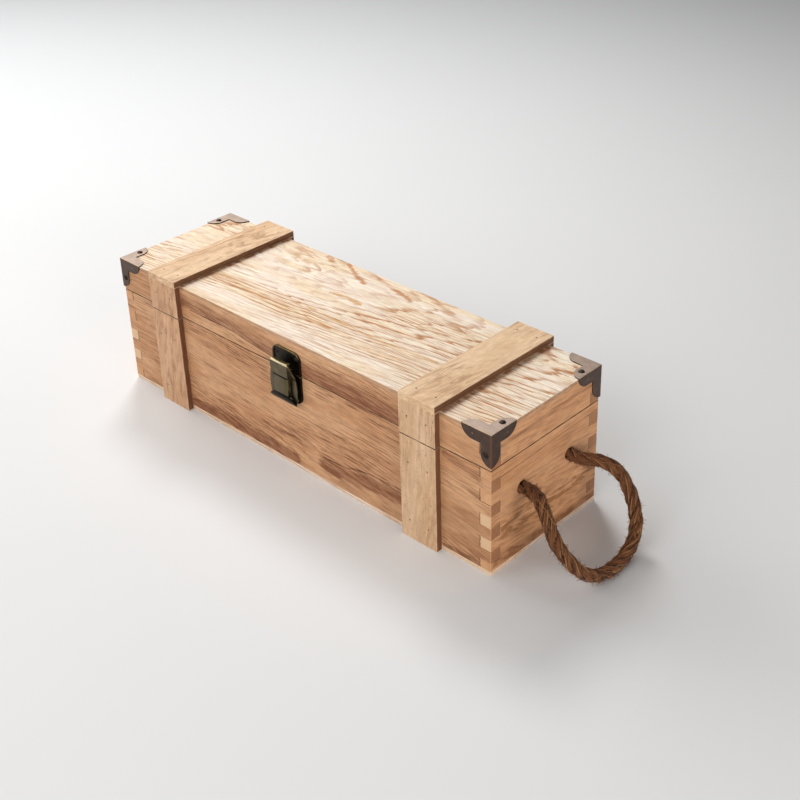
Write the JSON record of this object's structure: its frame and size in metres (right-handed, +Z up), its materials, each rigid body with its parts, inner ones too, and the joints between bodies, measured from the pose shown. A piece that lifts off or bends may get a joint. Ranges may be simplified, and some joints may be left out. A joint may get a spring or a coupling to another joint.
{
  "type": "wooden wine box",
  "caption": "Finger-jointed wooden bottle box with a hinged lid, crate battens, metal corner caps, a toggle latch at the front and a rope handle on one end.",
  "frame": {"origin": "centre of the underside of the bottom board, on the surface that the box stands on", "axes": "+X along the box towards the rope handle, -Y towards the latch, +Z up"},
  "size_m": [0.4183, 0.1216, 0.1073],
  "materials": {
    "case_wood": "brushed softwood, strong grain along the box, oiled matt",
    "end_wood": "brushed softwood, grain across the box, matt",
    "board_wood": "pale brushed softwood with reddish growth rings, matt",
    "batten_wood": "brushed softwood, grain along the batten, matt",
    "steel_brad": "plain wire brads",
    "bronze_sheet": "antique bronze, satin",
    "bronze_screw": "antique bronze, satin",
    "hinge_bronze": "antique bronze, satin",
    "latch_bronze": "antique bronze, polished on its high spots",
    "jute_rope": "hairy three-strand natural rope"
  },
  "bodies": {
    "box_body": {"bottom_board": "case_wood", "front_panel": "case_wood", "back_panel": "case_wood", "left_end_panel": "end_wood", "right_end_panel": "end_wood", "box_front_batten_left": "batten_wood", "box_front_batten_right": "batten_wood", "box_back_batten_left": "batten_wood", "box_back_batten_right": "batten_wood", "box_brads": "steel_brad", "hinge_box_leaf_left": "hinge_bronze", "hinge_box_leaf_right": "hinge_bronze", "hinge_pin_left": "hinge_bronze", "hinge_pin_right": "hinge_bronze", "hinge_box_screws": "bronze_screw", "latch_base_plate": "latch_bronze", "latch_lever_rivets": "bronze_screw", "latch_base_nails": "bronze_screw", "rope_ends": "jute_rope", "rope_knots": "jute_rope"},
    "lid": {"lid_front_rail": "case_wood", "lid_back_rail": "case_wood", "lid_left_rail": "end_wood", "lid_right_rail": "end_wood", "lid_board": "board_wood", "lid_front_batten_left": "batten_wood", "lid_front_batten_right": "batten_wood", "lid_back_batten_left": "batten_wood", "lid_back_batten_right": "batten_wood", "lid_top_batten_left": "batten_wood", "lid_top_batten_right": "batten_wood", "lid_brads": "steel_brad", "corner_cap_front_left": "bronze_sheet", "corner_cap_front_right": "bronze_sheet", "corner_cap_back_left": "bronze_sheet", "corner_cap_back_right": "bronze_sheet", "corner_cap_screws": "bronze_screw", "hinge_lid_leaf_left": "hinge_bronze", "hinge_lid_leaf_right": "hinge_bronze", "hinge_lid_screws": "bronze_screw", "latch_keeper": "latch_bronze", "latch_keeper_nails": "bronze_screw"},
    "latch_lever": {"latch_lever": "latch_bronze", "latch_loop_rivets": "bronze_screw"},
    "latch_loop": {"latch_loop": "latch_bronze"},
    "rope_handle": {"rope_handle": "jute_rope"}
  },
  "joints": [
    {"name": "lid_hinge", "type": "hinge", "parent": "box_body", "child": "lid", "pos_m": [0, 0.0592, 0.07755], "axis": [-1, 0, 0], "range_deg": [0, 180]},
    {"name": "latch_lever_hinge", "type": "hinge", "parent": "box_body", "child": "latch_lever", "pos_m": [0.0035, -0.0578, 0.0754], "axis": [-1, 0, 0], "range_deg": [0, 100]},
    {"name": "latch_loop_hinge", "type": "hinge", "parent": "latch_lever", "child": "latch_loop", "pos_m": [0.0035, -0.0564, 0.0715], "axis": [-1, 0, 0], "range_deg": [-100, 0]},
    {"name": "rope_handle_swing", "type": "hinge", "parent": "box_body", "child": "rope_handle", "pos_m": [0.1845, 0, 0.0515], "axis": [0, -1, 0], "range_deg": [0, 85]}
  ],
  "couplings": [
    {"joint": "latch_loop_hinge", "follows": "latch_lever_hinge", "ratio": -1}
  ]
}
